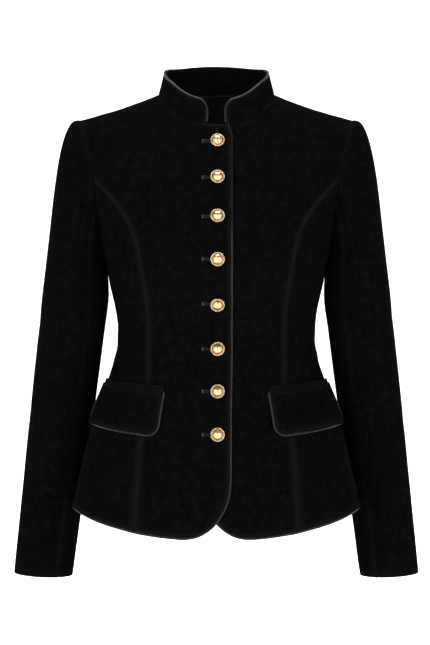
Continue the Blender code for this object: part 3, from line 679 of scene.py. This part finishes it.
def run_into_seams(work, reach):
    """Lengthens the cloth at its edges, so that neighbours meet in their seams, and more so under the collar
    and at its corners."""
    moves = {}
    for vert in work.verts:
        if vert.is_boundary:
            inner = [edge.other_vert(vert).co for edge in vert.link_edges if not edge.is_boundary]
            share = 1.0 if inner else CORNER_REACH
            inner = inner or [face.calc_center_median() for face in vert.link_faces]
            away = vert.co - sum(inner, Vector()) / len(inner)
            under = 0.0 < collar_surface.find_nearest(vert.co)[3] < UNDER_COLLAR * MM
            moves[vert] = away.normalized() * (share * reach + under * COLLAR_REACH) * MM
    for vert, move in moves.items():
        vert.co += move


def stitching_path(work):
    """Points in order along the cloth's corded edge, EDGE_STITCH inside it and on its surface."""
    inward = {}
    for vert in work.verts:
        if vert.is_boundary and cord_tree.find(vert.co)[2] < CORD_REACH * MM:
            inner = [edge.other_vert(vert).co for edge in vert.link_edges if not edge.is_boundary]
            if inner:
                inward[vert] = (sum(inner, Vector()) / len(inner) - vert.co).normalized()
    beside = {
        vert: [
            edge.other_vert(vert)
            for edge in vert.link_edges
            if edge.is_boundary and edge.other_vert(vert) in inward
        ]
        for vert in inward
    }
    ends = [vert for vert, others in beside.items() if len(others) == 1]
    if not ends:
        return []
    surface = BVHTree.FromBMesh(work)
    path, now, seen = [], min(ends, key=lambda vert: vert.index), set()
    while now is not None:
        seen.add(now)
        spot, normal, _, _ = surface.find_nearest(now.co + inward[now] * EDGE_STITCH * MM)
        path.append(spot + normal * STITCH_STAND * MM)
        now = next((vert for vert in beside[now] if vert not in seen), None)
    return path


def unevenness(place, waves):
    """How far waves of a size and depth move the surface at a place, in mm."""
    size, depth = waves
    return noise.noise(place / (size * MM)) * depth


def shape_cloth(work, cloth, roll, reach):
    """Rolls the cut piece's edges into its seams, puckers the cloth beside them and lays in its creases."""
    cut_edge_ring(work)
    run_into_seams(work, reach)
    edges = boundary_tree(work)
    seam_sheen = work.verts.layers.float.new("seam_sheen")
    work.normal_update()
    moves = []
    for vert in work.verts:
        distance = edges.find(vert.co)[2] / MM
        softness = min(1.0, roll)
        # A painted sheen of pressed nap: 1 at the seam's edge, fading away from it.
        vert[seam_sheen] = softness * math.exp(-((distance / SEAM_SHEEN_REACH) ** 2))
        push = roll * math.exp(-((distance / ROLL_REACH) ** 2))
        pucker = unevenness(vert.co, PUCKER) + unevenness(vert.co, SMALL_PUCKER)
        push += pucker * math.exp(-((distance / PUCKER_REACH) ** 2)) * softness
        push += unevenness(vert.co, SLOW_WAVE) * softness
        push += crease_depth(vert.co, vert.normal, cloth)
        moves.append(vert.normal * -push * MM)
    for vert, move in zip(work.verts, moves):
        vert.co += move


def make_piece(name, work, materials):
    """An object from a bmesh, riding on the jacket's one body."""
    mesh = bpy.data.meshes.new(name)
    work.to_mesh(mesh)
    work.free()
    for material in materials:
        mesh.materials.append(material)
    mesh.shade_smooth()
    made = bpy.data.objects.new(name, mesh)
    scene.collection.objects.link(made)
    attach(made, "root")
    return made


def kind_of(node):
    """A node's name without its side."""
    return node.removesuffix("_left").removesuffix("_right")


def sew_cloth(node):
    """A cut piece on its solid's form: one cloth outside, its cover inside."""
    kind = kind_of(node)
    cut = CUTS[kind]
    work = merged_copy(node)
    cloth = "sleeve" if "sleeve" in kind else "body"
    keep_outer_face(work, cloth == "sleeve")
    if cloth == "body":
        soften_folds(work)
    work = rounded(work, ROUNDING_LEVELS)
    if node == "collar":
        turn_collar(work)
    shape_cloth(work, cloth, cut.roll, cut.reach)
    stitching_paths.append(stitching_path(work))
    face = LINING if kind == "back_neck_facing" else VELVET
    cover = LINING if cut.cover == "lining" else VELVET
    made = make_piece("cloth_" + node, work, [face, cover])
    wall = made.modifiers.new("wall", "SOLIDIFY")
    wall.thickness = cut.wall * MM
    wall.offset = -1.0
    wall.material_offset = 1
    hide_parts(node)
    return made


CORD_NODES = [node for node in nodes if node.startswith("piping_")]
cord_spots = [vert.co.copy() for node in CORD_NODES for vert in nodes[node].data.vertices]
cord_tree = KDTree(len(cord_spots))
for index, spot in enumerate(cord_spots):
    cord_tree.insert(spot, index)
cord_tree.balance()
collar_side = max(nodes["piping_collar"].data.vertices, key=lambda vert: abs(vert.co.x)).co.y
collar_surface = BVHTree.FromObject(nodes["collar"], bpy.context.evaluated_depsgraph_get())
stitching_paths = []
cloth_pieces = {node: sew_cloth(node) for node in nodes if kind_of(node) in CUTS}

# ---------------------------------------------------------------- piping


# The leather's distance from the cord's solid, and its waves' size and depth, in mm.
LEATHER_STAND = 0.2
LEATHER_WAVE = (6.0, 0.12)


def cover_cord(node):
    """A cord covered with leather, on its solid's line: round, and slightly uneven as a turned strip is."""
    work = rounded(merged_copy(node), ROUNDING_LEVELS)
    if node == "piping_collar":
        turn_collar(work)
    work.normal_update()
    moves = [
        vert.normal * (LEATHER_STAND + unevenness(vert.co, LEATHER_WAVE)) * MM
        for vert in work.verts
    ]
    for vert, move in zip(work.verts, moves):
        vert.co += move
    made = make_piece("leather_" + node, work, [LEATHER])
    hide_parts(node)
    return made


for node in CORD_NODES:
    cover_cord(node)

# ---------------------------------------------------------------- buttons

# A button's half section, from its back over the rim to its top: radius and height in mm.
BUTTON_PROFILE = [
    (0.0, 0.0),
    (3.0, 0.0),
    (3.0, 1.8),
    (7.6, 2.2),
    (9.0, 2.7),
    (9.5, 3.3),
    (9.4, 3.9),
    (9.0, 4.2),
    (8.4, 4.1),
    (8.1, 3.7),
    (7.6, 3.5),
    (7.1, 3.6),
    (6.9, 4.0),
    (6.7, 4.8),
    (6.1, 5.9),
    (5.1, 7.0),
    (3.7, 7.95),
    (2.0, 8.6),
    (0.7, 8.82),
    (0.0, 8.85),
]
BUTTON_STEPS = 48
# Radius and height in mm inside which a face is the dome's or the ring's.
DOME_REACH, DOME_FOOT = 7.0, 3.7
RING_REACH, RING_FOOT = 8.6, 3.0
ROPE_BEADS = 30
ROPE_RADIUS = 8.85
ROPE_HEIGHT = 4.1
# A bead's half sizes in mm.
BEAD = (0.7, 1.2, 0.75)


def cast_button():
    """A button at the origin with its front along +Z: a rope rim, a sunk ring and a dome."""
    work = bmesh.new()
    line = [work.verts.new((radius * MM, 0.0, height * MM)) for radius, height in BUTTON_PROFILE]
    edges = [work.edges.new(pair) for pair in zip(line, line[1:])]
    bmesh.ops.spin(
        work,
        geom=line + edges,
        cent=(0, 0, 0),
        axis=(0, 0, 1),
        angle=2 * math.pi,
        steps=BUTTON_STEPS,
        use_merge=True,
    )
    bmesh.ops.remove_doubles(work, verts=work.verts, dist=0.001 * MM)
    bmesh.ops.recalc_face_normals(work, faces=work.faces)
    for face in work.faces:
        centre = face.calc_center_median() / MM
        reach = math.hypot(centre.x, centre.y)
        if reach < DOME_REACH and centre.z > DOME_FOOT:
            face.material_index = 2
        elif reach < RING_REACH and centre.z > RING_FOOT:
            face.material_index = 1
    # Each strand of the rope is a slanted bead; four dozen faces are enough at its size.
    for bead in range(ROPE_BEADS):
        turn = Matrix.Rotation(2 * math.pi * bead / ROPE_BEADS, 4, "Z")
        place = Matrix.Translation((ROPE_RADIUS * MM, 0, ROPE_HEIGHT * MM))
        slant = Matrix.Rotation(math.radians(32), 4, "X") @ Matrix.Rotation(math.radians(38), 4, "Z")
        size = Matrix.Diagonal((*(half * MM for half in BEAD), 1.0))
        bmesh.ops.create_uvsphere(
            work, u_segments=8, v_segments=6, radius=1.0, matrix=turn @ place @ slant @ size
        )
    return work


def button_place(node):
    """Where a button's solid stands: the middle of its flat back, and the turn that faces it outwards."""
    work = merged_copy(node)
    bmesh.ops.dissolve_limit(work, angle_limit=math.radians(1), verts=work.verts, edges=work.edges)
    back = max(work.faces, key=lambda face: face.calc_area())
    centre, axis = back.calc_center_median(), -back.normal
    work.free()
    return centre, axis


button_places = {}
for node in nodes:
    if node.startswith("button_"):
        centre, axis = button_place(node)
        button_places[node] = centre
        work = cast_button()
        turn = axis.to_track_quat("Z", "Y").to_matrix().to_4x4()
        bmesh.ops.transform(work, matrix=Matrix.Translation(centre) @ turn, verts=work.verts)
        made = make_piece("brass_" + node, work, [RIM_BRASS, RING_BRASS, DOME_BRASS])
        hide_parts(node)

# ---------------------------------------------------------------- sewing

# Sizes of the sewing in mm. PURL_FIRST is the share of its length that the purl by the button has.
THREAD_RADIUS = 0.42
PURL_PITCH = 0.85
HOLE_START = 5.0
HOLE_END = 19.6
HOLE_HALF_HEIGHT = 0.5
PURL_LENGTH = 1.6
PURL_FIRST = 0.45
PURL_STAND = 0.12
BAR_THREADS = 3
BAR_PITCH = 0.65
BAR_HALF_HEIGHT = 2.4
BAR_FOOT = 0.1
BAR_STAND = 0.35
SEWING_RADIUS = 0.2
STITCH_LENGTH = 2.5
STITCH_SPACE = 0.9


def surface_of(piece):
    """A tree of a finished piece's outside."""
    return BVHTree.FromObject(piece, bpy.context.evaluated_depsgraph_get())


def on_front(tree, across, height, stand=0.0):
    """The point of the cloth's front at a place across and up, in mm, standing off it by stand."""
    hit, normal, _, _ = tree.ray_cast(Vector((across * MM, -0.5, height * MM)), Vector((0, 1, 0)))
    return hit + normal * stand * MM


def stitch(work, start, end, radius):
    """One stitch: a thread lying from start to end."""
    along = end - start
    turn = along.to_track_quat("Z", "Y").to_matrix().to_4x4()
    size = Matrix.Diagonal((radius * MM, radius * MM, along.length / 2 + radius * MM, 1.0))
    matrix = Matrix.Translation((start + end) / 2) @ turn @ size
    bmesh.ops.create_uvsphere(work, u_segments=6, v_segments=5, radius=1.0, matrix=matrix)


def sew_buttonholes():
    """Keyhole buttonholes across the right front: purl stitches on both sides of the slit and a bar at its
    end. Thread is 0.3 mm thick; it is drawn 0.8 mm thick to show in the render."""
    tree = surface_of(cloth_pieces["front_right"])
    work = bmesh.new()
    for centre in button_places.values():
        middle, height = centre.x / MM, centre.z / MM
        count = int((HOLE_END - HOLE_START) / PURL_PITCH)
        for index in range(count):
            across = middle - HOLE_START - index * PURL_PITCH
            for side in (-1, 1):
                low = on_front(tree, across, height + side * HOLE_HALF_HEIGHT, PURL_STAND)
                length = PURL_LENGTH * (PURL_FIRST + (1 - PURL_FIRST) * index / count)
                high = on_front(tree, across, height + side * (HOLE_HALF_HEIGHT + length))
                stitch(work, low, high, THREAD_RADIUS)
        purls = len(work.faces)
        for index in range(BAR_THREADS):
            across = middle - HOLE_END - index * BAR_PITCH
            low = on_front(tree, across, height - BAR_HALF_HEIGHT, BAR_FOOT)
            middle_point = on_front(tree, across, height, BAR_STAND)
            high = on_front(tree, across, height + BAR_HALF_HEIGHT, BAR_FOOT)
            stitch(work, low, middle_point, THREAD_RADIUS)
            stitch(work, middle_point, high, THREAD_RADIUS)
        work.faces.ensure_lookup_table()
        for face in work.faces[purls:]:
            face.material_index = 1
    make_piece("buttonholes", work, [SEWING_THREAD, TWIST])


sew_buttonholes()


def sew_edges():
    """A row of stitches beside every corded edge, which holds the cord in. Stitches are 2.5 mm long; the
    0.2 mm thread is drawn 0.4 mm thick to show in the render."""
    work = bmesh.new()
    for path in stitching_paths:
        walked, needed, start = 0.0, 0.0, None
        for first, second in zip(path, path[1:]):
            length = (second - first).length / MM
            while needed <= walked + length:
                spot = first.lerp(second, (needed - walked) / length)
                if start is None:
                    start, needed = spot, needed + STITCH_LENGTH
                else:
                    stitch(work, start, spot, SEWING_RADIUS)
                    start, needed = None, needed + STITCH_SPACE
            walked += length
    make_piece("edge_stitching", work, [SEWING_THREAD])


sew_edges()

# ---------------------------------------------------------------- studio


def studio():
    """A pale round floor that curves up into a wall all round, open at the top."""
    work = bmesh.new()
    line = [work.verts.new((radius, 0.0, FLOOR + height)) for radius, height in STUDIO_PROFILE]
    edges = [work.edges.new(pair) for pair in zip(line, line[1:])]
    bmesh.ops.spin(
        work,
        geom=line + edges,
        cent=(0, 0, 0),
        axis=(0, 0, 1),
        angle=2 * math.pi,
        steps=96,
        use_merge=True,
    )
    bmesh.ops.remove_doubles(work, verts=work.verts, dist=MM)
    bmesh.ops.recalc_face_normals(work, faces=work.faces)
    bmesh.ops.reverse_faces(work, faces=[f for f in work.faces if f.normal.z < -0.001])
    mesh = bpy.data.meshes.new("studio")
    work.to_mesh(mesh)
    work.free()
    mesh.materials.append(pale_paper())
    mesh.shade_smooth()
    made = bpy.data.objects.new("studio", mesh)
    scene.collection.objects.link(made)


def softbox(name, place, aim, size, power):
    """A large soft lamp, aimed at a point."""
    lamp = bpy.data.lights.new(name, "AREA")
    lamp.shape = "RECTANGLE"
    lamp.size, lamp.size_y = size
    lamp.energy = power
    made = bpy.data.objects.new(name, lamp)
    made.location = place
    made.rotation_euler = (Vector(aim) - Vector(place)).to_track_quat("-Z", "Y").to_euler()
    made.visible_camera = False
    scene.collection.objects.link(made)


FLOOR = -0.80
# Radius and height in metres, from the floor's middle out and up.
STUDIO_PROFILE = [(0.0, 0.0)]
STUDIO_PROFILE += [(2.0 * step, 0.0) for step in range(1, 5)]
STUDIO_PROFILE += [
    (8.0 + 3.0 * math.sin(math.radians(turn)), 3.0 - 3.0 * math.cos(math.radians(turn)))
    for turn in range(10, 91, 10)
]
STUDIO_PROFILE += [(11.0, 6.0)]
studio()
softbox("left_softbox", (-1.7, -2.7, 0.5), (0, 0, -0.3), (0.9, 2.2), 52)
softbox("right_softbox", (1.9, -2.7, 0.4), (0, 0, -0.3), (0.9, 2.2), 40)
softbox("top_softbox", (0, 0.4, 2.4), (0, 0, -0.3), (2.4, 1.4), 150)

world = bpy.data.worlds.new("studio_light")
world.use_nodes = True
world.node_tree.nodes["Background"].inputs["Color"].default_value = (1, 1, 1, 1)
world.node_tree.nodes["Background"].inputs["Strength"].default_value = 0.25
scene.world = world
scene.view_settings.view_transform = "Standard"

# A long lens, level at chest height, with the frame dropped to take in the hem.
camera_data = bpy.data.cameras.new("camera")
camera_data.sensor_width = 36.0
camera_data.lens = 139.5
camera_data.shift_x = -0.001
camera_data.shift_y = -0.1586
camera = bpy.data.objects.new("camera", camera_data)
camera.location = (-0.001, -3.5, -0.176)
camera.rotation_euler = (math.radians(90), 0, 0)
scene.collection.objects.link(camera)
scene.camera = camera
